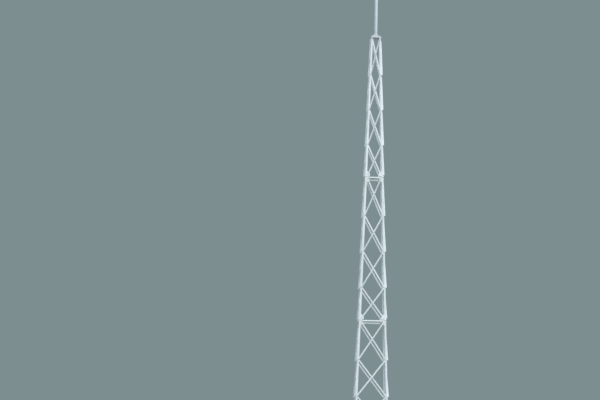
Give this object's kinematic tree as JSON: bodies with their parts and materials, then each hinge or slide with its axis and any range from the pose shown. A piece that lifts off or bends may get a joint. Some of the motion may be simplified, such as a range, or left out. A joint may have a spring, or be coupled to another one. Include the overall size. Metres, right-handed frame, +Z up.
{
  "type": "lattice lightning protection tower",
  "caption": "Slender square lattice tower of galvanised steel angle that tapers to a cap with a lightning needle.",
  "frame": {"origin": "the middle of the underside of the front left base plate, with the ground at z = 0", "axes": "+Z up, +X to the right and +Y to the back; the axis of the tower stands at x = y = 0.575 m"},
  "size_m": [1.39, 1.39, 17.054],
  "materials": {
    "leg_steel": "hot-dip galvanised, pale and weathered to a soft matt",
    "bracing_steel": "hot-dip galvanised, a little duller than the legs",
    "plate_steel": "hot-dip galvanised plate with a faint spangle",
    "foot_steel": "hot-dip galvanised, greyer near the ground",
    "needle_steel": "galvanised tube and rod, smooth"
  },
  "bodies": {
    "root": {"lower_leg_front_left": "leg_steel", "lower_leg_front_right": "leg_steel", "lower_leg_back_right": "leg_steel", "lower_leg_back_left": "leg_steel", "lower_bracing_front": "bracing_steel", "lower_bracing_right": "bracing_steel", "lower_bracing_back": "bracing_steel", "lower_bracing_left": "bracing_steel", "middle_leg_front_left": "leg_steel", "middle_leg_front_right": "leg_steel", "middle_leg_back_right": "leg_steel", "middle_leg_back_left": "leg_steel", "middle_bracing_front": "bracing_steel", "middle_bracing_right": "bracing_steel", "middle_bracing_back": "bracing_steel", "middle_bracing_left": "bracing_steel", "upper_leg_front_left": "leg_steel", "upper_leg_front_right": "leg_steel", "upper_leg_back_right": "leg_steel", "upper_leg_back_left": "leg_steel", "upper_bracing_front": "bracing_steel", "upper_bracing_right": "bracing_steel", "upper_bracing_back": "bracing_steel", "upper_bracing_left": "bracing_steel", "lower_joint_bottom_flanges": "plate_steel", "lower_joint_top_flanges": "plate_steel", "lower_joint_gussets": "plate_steel", "lower_joint_rails": "bracing_steel", "lower_joint_plan_bracing": "bracing_steel", "upper_joint_bottom_flanges": "plate_steel", "upper_joint_top_flanges": "plate_steel", "upper_joint_gussets": "plate_steel", "upper_joint_rails": "bracing_steel", "upper_joint_plan_bracing": "bracing_steel", "base_plate_front_left": "foot_steel", "base_plate_front_right": "foot_steel", "base_plate_back_right": "foot_steel", "base_plate_back_left": "foot_steel", "base_gussets": "plate_steel", "top_rails": "bracing_steel", "cap_plate": "plate_steel", "needle_foot": "plate_steel", "needle_tube": "needle_steel", "needle_reducer": "needle_steel", "needle_rod": "needle_steel"}
  },
  "joints": []
}
